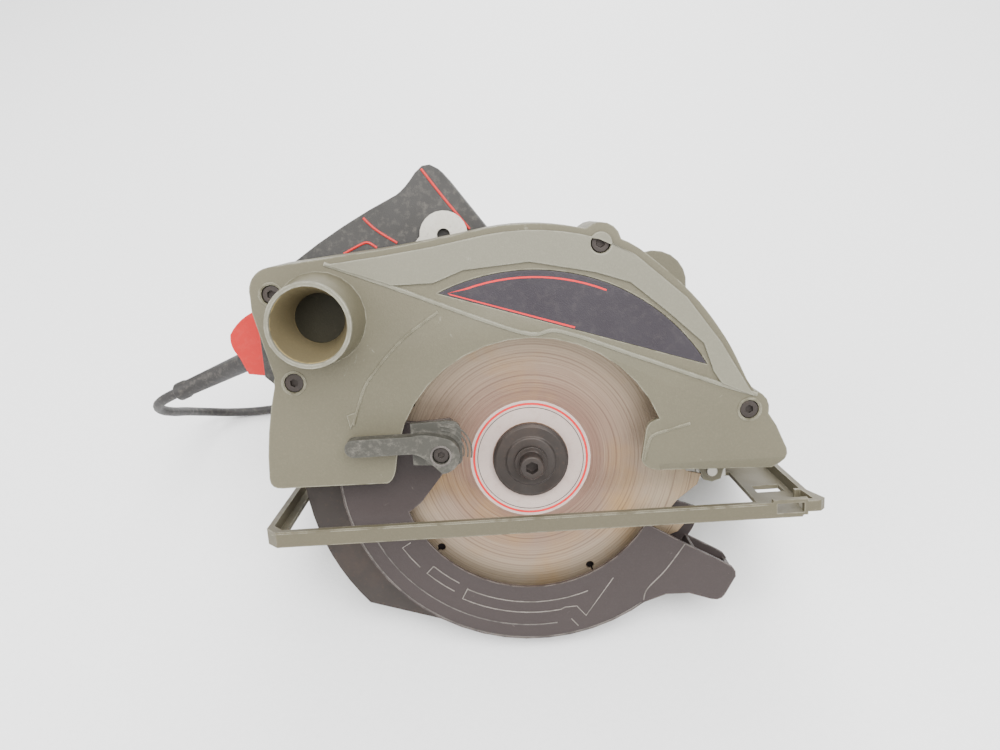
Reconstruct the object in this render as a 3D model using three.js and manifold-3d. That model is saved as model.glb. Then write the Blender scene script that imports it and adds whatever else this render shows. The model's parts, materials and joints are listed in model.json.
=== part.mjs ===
// A hand-held circular saw for 190 mm blades, lying on its shoe edge and lower guard.
//
// Saw frame, millimetres: X forward, Y to the motor side, Z up, with the origin on the arbor axis
// in the blade plane. The whole saw then leans about X onto the floor, and the part's own origin is
// the bottom centre of its box, without the mains lead.

import * as THREE from "three";
import { mergeVertices } from "three/addons/utils/BufferGeometryUtils.js";
import Module from "manifold-3d";

const wasm = await Module();
wasm.setup();

// ---------------------------------------------------------------------------------------------
// Driving dimensions

const gap = 0.3; // between faces that touch
const running = 0.6; // between pieces that turn or slide

const arborHeight = 29; // arbor axis above the shoe's underside
const blade = { radius: 95, teeth: 20, half: 0.9, gullet: 11, slots: 5, slotRadius: 72 };
const flange = { radius: 20.6, inner: 4.8, outer: 5.2 };
const bolt = { head: 6.5, washer: 9, shank: 3.8, headHeight: 8.5, washerHeight: 2.3, length: 20, socket: 3.5 };
const spindle = { radius: 7.6, rear: 3.8, end: 44.2 };

const guard = { face: -24, wall: 2.6, back: 13.7, top: 127, opening: 71, rear: -136.5, screw: 2.6, boss: 7.5, facet: 0.5 };
const guardScrews = [
  [-124, 100],
  [-118, 55],
  [39, 115.5],
  [112.5, 27],
];
const port = { x: -101.5, z: 87, mouth: -49, radius: 20.5, base: 23, bore: 18.5 };
const label = { radius: 104.5, from: 113.5, to: 30, recess: 0.9, thickness: 0.6 };
const plate = { front: 14, thickness: 3.2, boss: 24, bossFront: 6.8, below: 47 };

const lower = { outer: 104, inner: 72, wall: 2, near: -10, far: 9.5, front: -32, farFront: -22, rear: 148, steps: 26 };
const knife = { inner: 105.6, outer: 125, half: 1, top: 160, corner: 220, tip: 239.5, slot: 4.4 };
const lever = { x: -46, z: 15.2, post: 5.6, near: -34, far: -27.2, bed: 2.2, tipX: -94, tipZ: 21.5, height: 9 };

const shoe = {
  rear: -140,
  front: 145,
  right: -34,
  left: 122,
  sheet: 2.5,
  lip: 8.5,
  lipWall: 3,
  nose: 149.5,
  slotRear: -133,
  slotFront: 119,
  slotRight: -27,
  slotLeft: 31,
  noseLength: 6,
};
const frontPivot = { x: 104, z: -19, pin: 3 };
const arc = { radius: 202, width: 19, near: 17.8, thickness: 2.5, from: 3, to: 44.6, lock: 9, slot: 6.6, eye: 13 };
const bevel = { y: -12, z: -19, radius: 50, slot: 6.6, plate: 3, bolt: 10, range: 45, near: 24, foot: 54 };
const frontBevelX = frontPivot.x + frontPivot.pin + 5; // clear of the pivot pin's head
const rearBevelX = -127;

const gears = { module: 1.2, wheel: 38, pinion: 9, start: 20.6, width: 10, lineAngle: 95 };
const motor = { radius: 40, wall: 3.2, front: 46.3, rear: 128, cap: 14, statorOuter: 36.2, statorInner: 25.2 };
const core = { front: 62, rear: 102, radius: 24.4 }; // the iron of stator and armature
const brush = { front: 109, rear: 121, wall: 2, inner: 12 }; // the carbon brushes and their holders
const fan = { front: 48.5, rear: 57, radius: 35, vanes: 8 };
const housing = { front: 17.6, back: 46, radius: 26, motorRadius: 41.5, cavity: 24.3, wall: 3.7 };
const handle = { near: 22, far: 58, wall: 3, rearX: -146.7 };
const frontGrip = { x: 72, z: 90, radius: 15, length: 78 };
const spindleLock = [2, -19.8]; // the button that holds the spindle, in X and Z
const spindleLockTravel = 3;
const lockOff = [-60, 133]; // the switch's lock-off button, in X and Z
const lockOffTravel = 3;
const fence = { x: 124, width: 14, height: 5.2, screw: 70, bridge: 24 };
// The strain relief runs from the rear cap, dropped and turned away from the blade by these angles.
const relief = { x: -157, z: 58.5, drop: 21.5, turn: 13.5, length: 58.7, start: 7, end: 4.9 };

// The mains lead lies in the part's own frame: X and Y on the floor from the box's centre, Z up.
const lead = { diameter: 6.2, sides: 10, step: 14 };
const coil = { x: -25, y: 170, radius: 34, wide: 2, high: 4 };
const plug = { length: 48, width: 35, height: 25, neck: 5.4, neckLength: 14, shoulder: 22, turn: 20 };
const plugPin = { radius: 2.4, length: 19, spacing: 19 };

const sides = 22; // facets of a round piece
const rad = THREE.MathUtils.degToRad;
const motorX = ((gears.wheel + gears.pinion) / 2) * gears.module * Math.cos(rad(gears.lineAngle));
const motorZ = ((gears.wheel + gears.pinion) / 2) * gears.module * Math.sin(rad(gears.lineAngle));
const floorZ = -arborHeight; // the shoe's underside, saw upright

// ---------------------------------------------------------------------------------------------
// Solids: extruded outlines, turned profiles, cuts and joins

const toXZ = new THREE.Matrix4().makeBasis(
  new THREE.Vector3(1, 0, 0),
  new THREE.Vector3(0, 0, 1),
  new THREE.Vector3(0, -1, 0),
);
const toYZ = new THREE.Matrix4().makeBasis(
  new THREE.Vector3(0, 1, 0),
  new THREE.Vector3(0, 0, 1),
  new THREE.Vector3(1, 0, 0),
);

function solid(geometry) {
  const bare = geometry.clone();
  bare.deleteAttribute("normal");
  bare.deleteAttribute("uv");
  const merged = mergeVertices(bare, 1e-4);
  const vertProperties = new Float32Array(merged.attributes.position.array);
  const triVerts = new Uint32Array(merged.index.array);
  return new wasm.Manifold(new wasm.Mesh({ numProp: 3, vertProperties, triVerts }));
}

function geometryOf(body) {
  const mesh = body.getMesh();
  const geometry = new THREE.BufferGeometry();
  geometry.setAttribute("position", new THREE.BufferAttribute(new Float32Array(mesh.vertProperties), 3));
  geometry.setIndex(new THREE.BufferAttribute(new Uint32Array(mesh.triVerts), 1));
  return geometry;
}

const join = (first, ...others) => others.reduce((sum, other) => sum.add(other), first);
const cut = (first, ...others) => others.reduce((rest, other) => rest.subtract(other), first);

function outline(points) {
  return new THREE.Shape(points.map(([a, b]) => new THREE.Vector2(a, b)));
}

function extruded(shape, depth, curveSegments = 8) {
  return new THREE.ExtrudeGeometry(shape, { depth, bevelEnabled: false, curveSegments });
}

// An outline in X and Z, from y0 to y1.
function sideways(shape, y0, y1, curveSegments) {
  const geometry = extruded(shape, y1 - y0, curveSegments);
  return solid(geometry.applyMatrix4(toXZ).translate(0, y1, 0));
}

// An outline in Y and Z, from x0 to x1.
function crossways(shape, x0, x1, curveSegments) {
  return solid(extruded(shape, x1 - x0, curveSegments).applyMatrix4(toYZ).translate(x0, 0, 0));
}

// An outline in X and Y, from z0 to z1.
function upright(shape, z0, z1, curveSegments) {
  return solid(extruded(shape, z1 - z0, curveSegments).translate(0, 0, z0));
}

function block(x0, x1, y0, y1, z0, z1) {
  const geometry = new THREE.BoxGeometry(x1 - x0, y1 - y0, z1 - z0);
  return solid(geometry.translate((x0 + x1) / 2, (y0 + y1) / 2, (z0 + z1) / 2));
}

// A cylinder along Y through (x, z).
function pin(x, z, radius, y0, y1, count = sides) {
  return solid(new THREE.CylinderGeometry(radius, radius, y1 - y0, count).translate(x, (y0 + y1) / 2, z));
}

// A profile of [radius, y] pairs turned about the axis along Y through (x, z).
function turned(x, z, profile, count = sides) {
  const points = profile.map(([r, y]) => new THREE.Vector2(r, y));
  return solid(new THREE.LatheGeometry([...points, points[0]], count).translate(x, 0, z));
}

function ring(x, z, inner, outer, y0, y1, count = sides) {
  return turned(x, z, [[inner, y0], [outer, y0], [outer, y1], [inner, y1]], count);
}

const polar = (radius, degrees) => [radius * Math.cos(rad(degrees)), radius * Math.sin(rad(degrees))];

// A sector of a ring about (cx, cz) between two angles, in degrees, counter-clockwise.
function sector(cx, cz, inner, outer, from, to, steps = 16) {
  const at = (radius, i) => {
    const [a, b] = polar(radius, from + ((to - from) * i) / steps);
    return [cx + a, cz + b];
  };
  const out = Array.from({ length: steps + 1 }, (_, i) => at(outer, i));
  const back = Array.from({ length: steps + 1 }, (_, i) => at(inner, steps - i));
  return outline([...out, ...back]);
}

const knifePost = polar(115, 164); // where the knife is screwed to the inner guard
const lockPoint = [
  frontPivot.x - arc.radius * Math.cos(rad(arc.lock)),
  frontPivot.z + arc.radius * Math.sin(rad(arc.lock)),
];

function disc(x, z, radius) {
  return new THREE.Shape().absarc(x, z, radius, 0, 2 * Math.PI);
}

// The outline moved inwards by a distance, each corner along its bisector.
function inset(points, distance) {
  return points.map((point, i) => {
    const before = points[(i + points.length - 1) % points.length];
    const after = points[(i + 1) % points.length];
    const a = new THREE.Vector2(point[0] - before[0], point[1] - before[1]).normalize();
    const b = new THREE.Vector2(after[0] - point[0], after[1] - point[1]).normalize();
    const side = Math.sign(THREE.ShapeUtils.area(points.map(([x, y]) => ({ x, y }))));
    const normal = new THREE.Vector2(-(a.y + b.y), a.x + b.x).normalize().multiplyScalar(side);
    const stretch = distance / Math.max(0.5, normal.dot(new THREE.Vector2(-a.y, a.x).multiplyScalar(side)));
    return [point[0] + normal.x * stretch, point[1] + normal.y * stretch];
  });
}

// ---------------------------------------------------------------------------------------------
// Materials and the saw's groups

const finishes = {
  casting: [0xa3a291, 0.55, 0.25],
  darkPlastic: [0x55504c, 0.7, 0],
  gripPlastic: [0x3c3a39, 0.8, 0],
  redPlastic: [0xc7372f, 0.55, 0],
  steel: [0xb5aea2, 0.35, 0.9],
  zinc: [0xb9b7ad, 0.45, 0.8],
  darkSteel: [0x4b4845, 0.45, 0.8],
  copper: [0xb06a3c, 0.4, 0.8],
  carbon: [0x2b2b2d, 0.8, 0],
  rubber: [0x37332f, 0.85, 0],
  olive: [0x8c8772, 0.6, 0.3],
  label: [0x48424a, 0.5, 0],
  brass: [0xc3a15a, 0.35, 0.9],
};
const materials = Object.fromEntries(
  Object.entries(finishes).map(([name, [color, roughness, metalness]]) => [
    name,
    new THREE.MeshStandardMaterial({ color, roughness, metalness }),
  ]),
);

const saw = new THREE.Group();

function piece(name, body, finish, group = saw) {
  const mesh = new THREE.Mesh(geometryOf(body), materials[finish]);
  mesh.name = name;
  group.add(mesh);
  return mesh;
}

// ---------------------------------------------------------------------------------------------
// Upper guard: a shell around the blade's upper half, with the dust port

function guardOutline() {
  const shape = new THREE.Shape();
  shape.moveTo(-119, -0.5);
  shape.lineTo(guard.rear + 6, -0.5);
  shape.quadraticCurveTo(guard.rear, -0.5, guard.rear, 5);
  shape.quadraticCurveTo(guard.rear + 1, 30, -127, 57);
  shape.lineTo(-134.5, 92);
  shape.absarc(-122.6, 101.6, 12, rad(188), rad(97), true);
  shape.lineTo(-68.6, 118.6);
  shape.quadraticCurveTo(-44, 121.5, ...polar(guard.top, 98));
  shape.absarc(0, 0, guard.top, rad(98), rad(72), true);
  const shoulder = [[126, 63], [121.5, 47], [119.4, 33], [119, 21]];
  shape.splineThru(shoulder.map(([r, a]) => new THREE.Vector2(...polar(r, a))));
  shape.lineTo(126.5, 17.5);
  shape.lineTo(132, 5);
  shape.quadraticCurveTo(134, -1.5, 124.5, -5.4);
  shape.lineTo(66.2, -2.9);
  return shape.getPoints(4).map(({ x, y }) => [x, y]);
}

function guardOpening() {
  const shape = new THREE.Shape();
  shape.moveTo(...polar(guard.opening, 20.5));
  shape.absarc(0, 0, guard.opening, rad(20.5), rad(174), false);
  shape.quadraticCurveTo(-72, -0.5, -77, -1.5);
  shape.lineTo(-77, -30);
  shape.lineTo(66.2, -30);
  shape.lineTo(66.2, -2.9);
  shape.quadraticCurveTo(57, -1.5, 56.8, 4);
  shape.lineTo(59.5, 19.5);
  shape.quadraticCurveTo(60.5, 24, ...polar(guard.opening, 20.5));
  return shape;
}

const guardPoints = guardOutline();

function labelOutline(margin = 0) {
  const shape = new THREE.Shape();
  const radius = label.radius + margin;
  shape.moveTo(...polar(radius, label.from + margin));
  shape.absarc(0, 0, radius, rad(label.from + margin), rad(label.to - margin), true);
  return shape;
}

function upperGuard() {
  const bosses = guardScrews.map(([x, z]) => pin(x, z, guard.boss + guard.wall, guard.face, guard.back, 18));
  const body = join(sideways(outline(guardPoints), guard.face, guard.back), ...bosses);
  const inner = inset(guardPoints, guard.wall);
  const bay = sideways(outline(inner), guard.face + guard.wall, guard.back + 1);
  const hollow = cut(bay, ...guardScrews.map(([x, z]) => pin(x, z, guard.boss, guard.face, guard.back + 2, 14)));
  // The bottom stays open between the rear wall and the front corner, for blade, guard and knife.
  const mouth = block(guard.rear + guard.wall, 112, guard.face + guard.wall, guard.back + 1, -30, 8);
  const tube = turned(port.x, port.z, [
    [0, port.mouth],
    [port.radius, port.mouth],
    [port.radius + 0.6, guard.face - 8],
    [port.base, guard.face - 0.7],
    [port.base, guard.face + 1],
    [0, guard.face + 1],
  ]);
  const bore = pin(port.x, port.z, port.bore, port.mouth - 1, guard.face + guard.wall + 1);
  const window = sideways(guardOpening(), guard.face - 1, guard.face + guard.wall + 1);
  // A facet along the near side's lower edge, in front of the window.
  const facet = crossways(
    outline([
      [guard.face - 1, guard.facet],
      [guard.face, guard.facet],
      [guard.face + guard.wall - 1, guard.facet - 6.5],
      [guard.face - 1, guard.facet - 6.5],
    ]),
    66,
    136,
  );
  const labelBed = sideways(labelOutline(0.4), guard.face - 1, guard.face + label.recess, 16);
  const holes = guardScrews.flatMap(([x, z]) => [
    pin(x, z, guard.screw + running / 2, guard.face - 1, guard.back + 1, 10),
    pin(x, z, 5, guard.face - 10, guard.face + 3.4, 14),
  ]);
  return cut(join(cut(body, hollow, mouth), tube), bore, window, facet, labelBed, ...holes);
}

function guardScrew(x, z) {
  const shaft = pin(x, z, guard.screw, guard.face + 3.7, plate.front + plate.thickness - 0.6, 8);
  const head = pin(x, z, 4.6, guard.face + 0.6, guard.face + 3.4 - gap / 3, 14);
  const socket = pin(x, z, 2.2, guard.face, guard.face + 2.6, 6);
  const neck = pin(x, z, guard.screw, guard.face + 3, guard.face + 4, 8);
  return cut(join(head, neck, shaft), socket);
}

// The plate behind the blade: it closes the shell, holds the spindle's front bearing in its boss,
// and carries the front pivot, the depth clamp, the knife's post and the boss of the front handle.
function innerGuard() {
  const { front, thickness, boss, bossFront } = plate;
  const back = front + thickness;
  const outer = sideways(outline(guardPoints), front, back);
  const below = sideways(sector(0, 0, 0.01, plate.below, 178, 362, 12), front, back);
  const lug = sideways(
    outline([[86, -3], [97.5, -19], [99, -24], [104, -25.5], [109, -24], [110.5, -19], [118, -5], [118, 0]]),
    front,
    back,
  );
  const rim = guardScrews.map(([x, z]) => pin(x, z, guard.boss + guard.wall, front, back, 18));
  const hub = pin(0, 0, boss, bossFront, back);
  const gripBoss = pin(frontGrip.x, frontGrip.z, 18, front, back);
  const post = pin(...knifePost, 6, knife.half + gap, back);
  const bearingSeat = pin(0, 0, 15 + gap, 10, back + 1);
  const spindleHole = pin(0, 0, 11, bossFront - 1, 11);
  const holes = guardScrews.map(([x, z]) => pin(x, z, guard.screw + gap, front - 1, back + 1, 10));
  const pivotHole = pin(frontPivot.x, frontPivot.z, frontPivot.pin + gap, front - 1, back + 1, 14);
  const gripHole = pin(frontGrip.x, frontGrip.z, 3.4, front - 1, back + 1, 12);
  const clampHole = pin(...lockPoint, 3.3, front - 1, back + 1, 12);
  const knifeHole = pin(...knifePost, 2.4, 0, back + 1, 14);
  const body = join(outer, below, lug, hub, gripBoss, post, ...rim);
  return cut(body, bearingSeat, spindleHole, pivotHole, gripHole, clampHole, knifeHole, ...holes);
}

function rivingKnife() {
  const blank = sector(0, 0, knife.inner, knife.outer, knife.top, knife.tip, 20);
  const below = 60;
  const [cornerX, cornerZ] = polar(knife.outer, knife.corner);
  const [tipX, tipZ] = polar(knife.inner + 3, knife.tip);
  const trim = outline([
    [cornerX, cornerZ],
    [tipX, tipZ],
    [tipX + below, tipZ],
    [tipX + below, tipZ - below],
    [cornerX - 20, tipZ - below],
    [cornerX - 20, cornerZ + (20 * (cornerZ - tipZ)) / (tipX - cornerX)],
  ]);
  const hole = pin(...knifePost, 2.7, -2, 2, 16);
  return cut(sideways(blank, -knife.half, knife.half), sideways(trim, -2, 2), hole);
}

function knifeScrew() {
  const [x, z] = knifePost;
  const head = pin(x, z, 4.5, -knife.half - gap - 3, -knife.half - gap, 18);
  return join(head, pin(x, z, 2.1, -knife.half - gap - 0.5, plate.front + 2, 12));
}

// ---------------------------------------------------------------------------------------------
// Blade and spindle

function sawBlade() {
  const pitch = 360 / blade.teeth;
  const root = blade.radius - blade.gullet;
  const tooth = [
    [blade.radius, 0],
    [root + 2.5, 0.6],
    [root + 0.5, 1.8],
    [root, 4],
    [root + 1.5, 7],
    [blade.radius - 1.2, 14.2],
  ];
  const points = [];
  for (let i = 0; i < blade.teeth; i += 1) {
    for (const [radius, degrees] of tooth) {
      points.push(polar(radius, -9 + i * pitch + degrees));
    }
  }
  const holes = [pin(0, 0, spindle.radius + running, -3, 3)];
  for (let i = 0; i < blade.slots; i += 1) {
    const turn = 151 + (i * 360) / blade.slots;
    const [x, z] = polar(blade.slotRadius, turn);
    const slot = sector(0, 0, blade.slotRadius, blade.radius, turn - 0.35, turn + 0.35, 1);
    holes.push(pin(x, z, 2.3, -3, 3, 12), sideways(slot, -3, 3));
  }
  return cut(sideways(outline(points), -blade.half, blade.half), ...holes);
}

const innerFlangeFront = blade.half + gap;
const outerFlangeBack = -blade.half - gap;

function innerFlange() {
  const back = innerFlangeFront + flange.inner;
  const profile = [
    [spindle.radius + gap, innerFlangeFront],
    [flange.radius, innerFlangeFront],
    [flange.radius, back - 1.5],
    [flange.radius - 1.5, back],
    [spindle.radius + gap, back],
  ];
  return turned(0, 0, profile);
}

function outerFlange() {
  const front = outerFlangeBack - flange.outer;
  const profile = [
    [bolt.shank + gap, front],
    [13, front],
    [14, front + 1.2],
    [flange.radius - 1.5, front + 1.2],
    [flange.radius, front + 2.4],
    [flange.radius, outerFlangeBack],
    [bolt.shank + gap, outerFlangeBack],
  ];
  return turned(0, 0, profile, 36);
}

function bladeBolt() {
  const seat = outerFlangeBack - flange.outer - gap;
  const head = seat - bolt.washerHeight - bolt.headHeight;
  const profile = [
    [0, head],
    [bolt.head - 0.8, head],
    [bolt.head, head + 0.8],
    [bolt.head, seat - bolt.washerHeight],
    [bolt.washer, seat - bolt.washerHeight],
    [bolt.washer, seat],
    [bolt.shank, seat],
    [bolt.shank, seat + bolt.length],
    [0, seat + bolt.length],
  ];
  return cut(turned(0, 0, profile, 24), pin(0, 0, bolt.socket, head - 1, head + 5, 6));
}

function spindleShaft() {
  const gearEnd = gears.start + gears.width;
  const profile = [
    [0, -blade.half + 0.2],
    [spindle.radius, -blade.half + 0.2],
    [spindle.radius, gearEnd + 1.2],
    [spindle.rear, gearEnd + 1.2],
    [spindle.rear, spindle.end],
    [0, spindle.end],
  ];
  const thread = pin(0, 0, bolt.shank + gap, -2, outerFlangeBack - flange.outer + bolt.length + 1, 16);
  return cut(turned(0, 0, profile, 24), thread);
}

// A spur gear with plain tapered teeth, thinner than half a pitch so that the pair runs free.
function gearOutline(teeth, turn) {
  const pitchRadius = (gears.module * teeth) / 2;
  const root = pitchRadius - 1.25 * gears.module;
  const tip = pitchRadius + 0.85 * gears.module;
  const pitch = 360 / teeth;
  const points = [];
  for (let i = 0; i < teeth; i += 1) {
    const middle = turn + i * pitch;
    const rootHalf = pitch * 0.25;
    const tipHalf = pitch * 0.25 * (1 - 1.35 / Math.sqrt(teeth + 4));
    points.push(polar(root, middle - rootHalf), polar(tip, middle - tipHalf));
    points.push(polar(tip, middle + tipHalf), polar(root, middle + rootHalf));
  }
  return points;
}

function driveGear() {
  const body = sideways(outline(gearOutline(gears.wheel, gears.lineAngle)), gears.start, gears.start + gears.width);
  return cut(body, pin(0, 0, spindle.radius + gap, 0, 60));
}

function bearing(x, z, inner, outer, y0, y1) {
  const shield = outer - (outer - inner) / 4;
  const profile = [
    [inner, y0 + 0.4],
    [shield, y0 + 0.4],
    [shield, y0],
    [outer, y0],
    [outer, y1],
    [inner, y1],
  ];
  return turned(x, z, profile, 16);
}

// ---------------------------------------------------------------------------------------------
// Motor

function gearHousing() {
  const { front, back, radius, motorRadius, cavity, wall } = housing;
  const hull = join(
    sideways(disc(0, 0, radius), front, back, 16),
    sideways(disc(motorX, motorZ, motorRadius), front, back, 18),
  );
  const inside = join(
    pin(0, 0, cavity, front - 1, back - wall),
    pin(motorX, motorZ, 14, front - 1, back - wall),
  );
  const rearSeat = pin(0, 0, 9 + gap, back - wall - 1, back - 1.2);
  const armatureSeat = pin(motorX, motorZ, 10.7 + gap, front, back + 1);
  const lockHole = pin(...spindleLock, 4 + gap, front - 1, back + 1, 16);
  return cut(hull, inside, rearSeat, armatureSeat, lockHole);
}

function spindleLockButton() {
  const tip = gears.start + gears.width + running + spindleLockTravel;
  return pin(...spindleLock, 4, tip, housing.back + running + spindleLockTravel + 4, 16);
}

function motorHousing() {
  const { radius, wall, front, rear } = motor;
  const tube = turned(motorX, motorZ, [
    [radius - wall, front],
    [radius + 1.5, front],
    [radius + 1.5, front + 5],
    [radius, front + 6.5],
    [radius, rear - gap],
    [radius - wall, rear - gap],
  ], 26);
  const vents = [];
  for (const side of [-1, 1]) {
    for (let i = 0; i < 4; i += 1) {
      const y = 104 + i * 5.5;
      const x = motorX + side * radius;
      vents.push(block(x - 8, x + 8, y, y + 2.6, motorZ + 8, motorZ + 24));
    }
  }
  return cut(tube, ...vents);
}

function motorEndCap() {
  const { radius, wall, rear, cap } = motor;
  const cup = turned(motorX, motorZ, [
    [0, rear + cap - wall],
    [radius - wall - 2, rear + cap - wall],
    [radius - wall, rear + cap - wall - 4],
    [radius - wall, rear],
    [radius, rear],
    [radius, rear + cap - 4],
    [radius - 4, rear + cap],
    [0, rear + cap],
  ], 26);
  const seat = ring(motorX, motorZ, 8 + gap, 11, rear + 3, rear + cap - 1, 16);
  const vents = [];
  for (let i = -1; i <= 1; i += 1) {
    const z = motorZ + i * 11;
    for (const x of [motorX - 29, motorX + 13]) {
      vents.push(block(x, x + 16, rear + cap - wall - 1, rear + cap + 1, z - 1.5, z + 1.5));
    }
  }
  return cut(join(cup, seat), ...vents);
}

function stator() {
  const back = ring(motorX, motorZ, motor.statorInner, motor.statorOuter, core.front, core.rear, 24);
  const windows = [-1, 1].map((side) =>
    block(motorX - 9, motorX + 9, core.front - 2, core.rear + 2, motorZ + side * 30.5 - 2.5, motorZ + side * 30.5 + 2.5),
  );
  return cut(back, ...windows);
}

function armatureShaft() {
  const end = motor.rear + motor.cap - motor.wall - 1;
  const pinion = outline(gearOutline(gears.pinion, gears.lineAngle + 180 + 180 / gears.pinion));
  const teeth = sideways(pinion, gears.start, gears.start + gears.width);
  const teethMoved = teeth.translate([motorX, 0, motorZ]);
  const shaft = turned(motorX, motorZ, [
    [0, gears.start + 1],
    [4.2, gears.start + 1],
    [4.2, 60],
    [5, 60],
    [5, motor.rear - 4],
    [3.8, motor.rear - 4],
    [3.8, end],
    [0, end],
  ], 20);
  return join(teethMoved, shaft);
}

function armatureCore() {
  const body = ring(motorX, motorZ, 5 + gap, core.radius, core.front, core.rear, 24);
  const slots = [];
  for (let i = 0; i < 8; i += 1) {
    const [x, z] = polar(24, i * 45);
    slots.push(pin(motorX + x, motorZ + z, 2.4, core.front - 2, core.rear + 2, 8));
  }
  return cut(body, ...slots);
}

function coolingFan() {
  const hub = ring(motorX, motorZ, 4.2 + gap, 9, fan.front, fan.rear, 20);
  const back = ring(motorX, motorZ, 8, fan.radius, fan.rear - 1.6, fan.rear, 28);
  const vanes = [];
  for (let i = 0; i < fan.vanes; i += 1) {
    const turn = rad((i * 360) / fan.vanes);
    const blank = new THREE.BoxGeometry(fan.radius - 9, fan.rear - fan.front - 1.5, 1.6);
    const vane = solid(blank.translate(fan.radius - 14, fan.rear - 5, 0).rotateY(turn));
    vanes.push(vane.translate([motorX, 0, motorZ]));
  }
  return join(hub, back, ...vanes);
}

function brushHolder(side) {
  const x0 = motorX + side * 14;
  const x1 = motorX + side * (motor.radius - motor.wall - 1);
  const [low, high] = [Math.min(x0, x1), Math.max(x0, x1)];
  const { front, rear, wall } = brush;
  const tube = block(low, high, front, rear, motorZ - 5, motorZ + 5);
  return cut(tube, block(low - 1, high + 1, front + wall, rear - wall, motorZ - 3 - gap, motorZ + 3 + gap));
}

function carbonBrush(side) {
  const x0 = motorX + side * (brush.inner + running);
  const x1 = motorX + side * 27;
  const [y0, y1] = [brush.front + brush.wall + gap, brush.rear - brush.wall - gap];
  return block(Math.min(x0, x1), Math.max(x0, x1), y0, y1, motorZ - 3, motorZ + 3);
}

// ---------------------------------------------------------------------------------------------
// Handles, trigger and buttons

function handleOutline() {
  const shape = new THREE.Shape();
  const foot = motor.radius + 1.5 + gap + 0.3;
  shape.moveTo(motorX + foot * Math.cos(rad(78)), motorZ + foot * Math.sin(rad(78)));
  shape.quadraticCurveTo(-2, 100, -16.5, 125.5);
  shape.lineTo(-36, 152.5);
  shape.quadraticCurveTo(-45, 166, -53, 156.5);
  shape.quadraticCurveTo(-59, 148.5, -64, 145.5);
  shape.quadraticCurveTo(-95, 132, -123, 113);
  shape.quadraticCurveTo(-140, 103, handle.rearX, 90);
  shape.lineTo(handle.rearX, 50);
  shape.quadraticCurveTo(-136, 38, -118, 34);
  shape.lineTo(motorX + foot * Math.cos(rad(192)), motorZ + foot * Math.sin(rad(192)));
  shape.absarc(motorX, motorZ, foot, rad(192), rad(78), true);
  return shape;
}

// The finger opening of the closed handle.
function fingerOpening() {
  const shape = new THREE.Shape();
  shape.moveTo(-113, 86);
  shape.quadraticCurveTo(-80, 102, -58, 113);
  shape.quadraticCurveTo(-45, 117, -40, 104);
  shape.quadraticCurveTo(-36, 90, -46, 78);
  shape.quadraticCurveTo(-54, 66, -70, 61);
  shape.lineTo(-108, 55);
  shape.quadraticCurveTo(-126, 55, -125, 69);
  shape.quadraticCurveTo(-124, 81, -113, 86);
  return shape;
}

// The space along the grip for the switch, the trigger and the lead.
function gripBay(y0, y1) {
  const bay = outline([
    [-44, 150],
    [-52, 122],
    [-84, 106],
    [-122, 88],
    [-132, 76],
    [-133, 64],
    [-142, 62],
    [-142, 84],
    [-132, 96],
    [-112, 110],
    [-62, 138],
    [-49, 150],
  ]);
  return sideways(bay, y0, y1);
}

function handleShell(right) {
  const middle = (handle.near + handle.far) / 2;
  const [y0, y1] = right ? [handle.near, middle - gap / 2] : [middle + gap / 2, handle.far];
  const bay = right ? gripBay(y0 + handle.wall, y1 + 1) : gripBay(y0 - 1, y1 - handle.wall);
  const body = cut(sideways(handleOutline(), y0, y1, 4), sideways(fingerOpening(), y0 - 1, y1 + 1, 4), bay);
  const triggerSlot = sideways(triggerPath(running), middle - 8 - running, middle + 8 + running);
  const leadHole = crossways(disc(middle, 72, 6), handle.rearX - 2, -138, 5);
  const button = pin(...lockOff, 5 + running, middle - 12 - lockOffTravel - running, handle.far + 1, 16);
  const housingClear = pin(motorX, motorZ, housing.motorRadius + gap + 0.3, 0, 60, 36);
  return cut(body, triggerSlot, leadHole, button, housingClear);
}

// The trigger's side outline, grown by a margin for the slot it moves in.
function triggerPath(margin) {
  const grow = margin > 0 ? 1 : 0;
  return outline([
    [-90 - margin * 2, 99 - grow * 12],
    [-72, 102 - grow * 12],
    [-57 + margin * 2, 107 - grow * 12],
    [-55 + margin * 2, 126 + margin],
    [-84 - margin * 2, 116 + margin],
    [-90 - margin * 2, 110],
  ]);
}

function trigger() {
  const middle = (handle.near + handle.far) / 2;
  const side = outline([[-88, 100.5], [-80, 92], [-68, 93], [-58, 101], [-58, 119], [-83, 109], [-88, 104]]);
  return sideways(side, middle - 8, middle + 8);
}

function lockOffButton() {
  const middle = (handle.near + handle.far) / 2;
  return pin(...lockOff, 5, middle - 12, handle.far + 3, 16);
}

function switchModule() {
  const middle = (handle.near + handle.far) / 2;
  const box = outline([[-97, 105], [-95, 102.5], [-118, 91.5], [-125, 88], [-128, 92], [-112, 107], [-99, 113.5]]);
  return sideways(box, middle - 9, middle + 9);
}

function rearCap() {
  const middle = (handle.near + handle.far) / 2;
  const side = new THREE.Shape();
  side.moveTo(handle.rearX - gap, 88);
  side.quadraticCurveTo(-158, 84, -163.5, 75);
  side.quadraticCurveTo(-165, 68, -160, 62);
  side.lineTo(-156, 52);
  side.lineTo(handle.rearX - gap, 50.5);
  side.lineTo(handle.rearX - gap, 88);
  const body = sideways(side, handle.near + 1, handle.far - 1, 6);
  return cut(body, reliefSocket(), crossways(disc(middle, 72, 5), -152, -140, 5));
}

// Lays a piece made along +Y on the strain relief's line.
function onRelief(geometry) {
  geometry.rotateZ(Math.PI / 2 - rad(relief.turn)).rotateY(-rad(relief.drop));
  return solid(geometry.translate(relief.x, (handle.near + handle.far) / 2, relief.z));
}

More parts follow.
